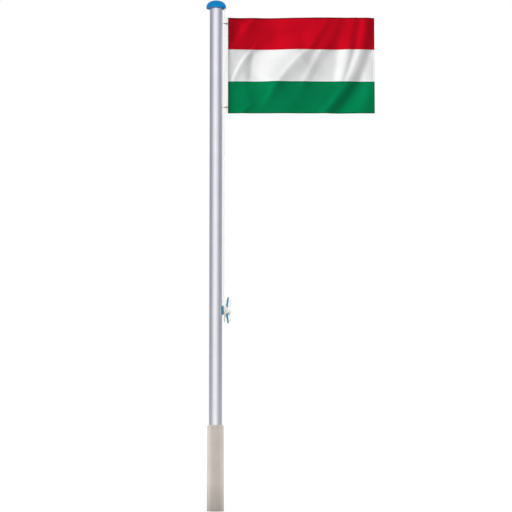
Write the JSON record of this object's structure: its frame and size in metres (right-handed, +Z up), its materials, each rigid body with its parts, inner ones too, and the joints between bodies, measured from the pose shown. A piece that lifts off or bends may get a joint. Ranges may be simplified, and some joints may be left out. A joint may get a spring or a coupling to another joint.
{
  "type": "flagpole",
  "caption": "Garden flagpole: aluminium mast in a ground sleeve, domed cap with halyard sheave, cleat with wound halyard, and a striped flag on snap hooks.",
  "frame": {"origin": "centre of the ground sleeve's flat bottom face", "axes": "+Z up along the mast, +X the way the flag flies and the side of the cleat, +Y across the flag"},
  "size_m": [1.7232, 0.2032, 5.2015],
  "materials": {
    "mast": "satin anodised",
    "cap": "glossy azure blue, moulded",
    "sheave": "moulded nylon",
    "steel": "satin stainless",
    "dark_steel": "blackened socket screws",
    "sleeve": "warm grey moulded tube",
    "cleat": "blue moulded nylon",
    "rope": "braided polyester",
    "red_cloth": "woven polyester",
    "white_cloth": "woven polyester",
    "green_cloth": "woven polyester",
    "heading": "webbing tape",
    "grommet": "nickelled, dull"
  },
  "bodies": {
    "ground_sleeve": {"sleeve_tube": "sleeve", "sleeve_end_cap": "sleeve", "sleeve_ring": "sleeve", "set_screw_1": "dark_steel", "set_screw_2": "dark_steel", "set_screw_3": "dark_steel", "set_screw_4": "dark_steel"},
    "mast": {"mast_tube": "mast", "mast_foot": "sheave", "top_cap": "cap", "halyard_sheave": "sheave", "sheave_pin": "steel", "cleat": "cleat", "cleat_screw_upper": "steel", "cleat_screw_lower": "steel", "halyard_hoist_strand": "rope", "halyard_return_strand": "rope", "halyard_head_bight": "rope", "halyard_foot_bight": "rope", "halyard_turn_1": "rope", "halyard_turn_2": "rope", "halyard_turn_3": "rope", "halyard_turn_4": "rope", "halyard_turn_5": "rope"},
    "flag": {"flag_heading": "heading", "flag_green_band": "green_cloth", "flag_white_band": "white_cloth", "flag_red_band": "red_cloth", "grommet_upper": "grommet", "snap_hook_upper": "steel", "snap_gate_upper": "steel", "grommet_lower": "grommet", "snap_hook_lower": "steel", "snap_gate_lower": "steel"}
  },
  "joints": [
    {"name": "mast_lift", "type": "slide", "parent": "ground_sleeve", "child": "mast", "axis": [0, 0, 1], "range_m": [0, 0.85]},
    {"name": "flag_hoist", "type": "slide", "parent": "mast", "child": "flag", "axis": [0, 0, 1], "range_m": [-1.85, 0.08]}
  ]
}
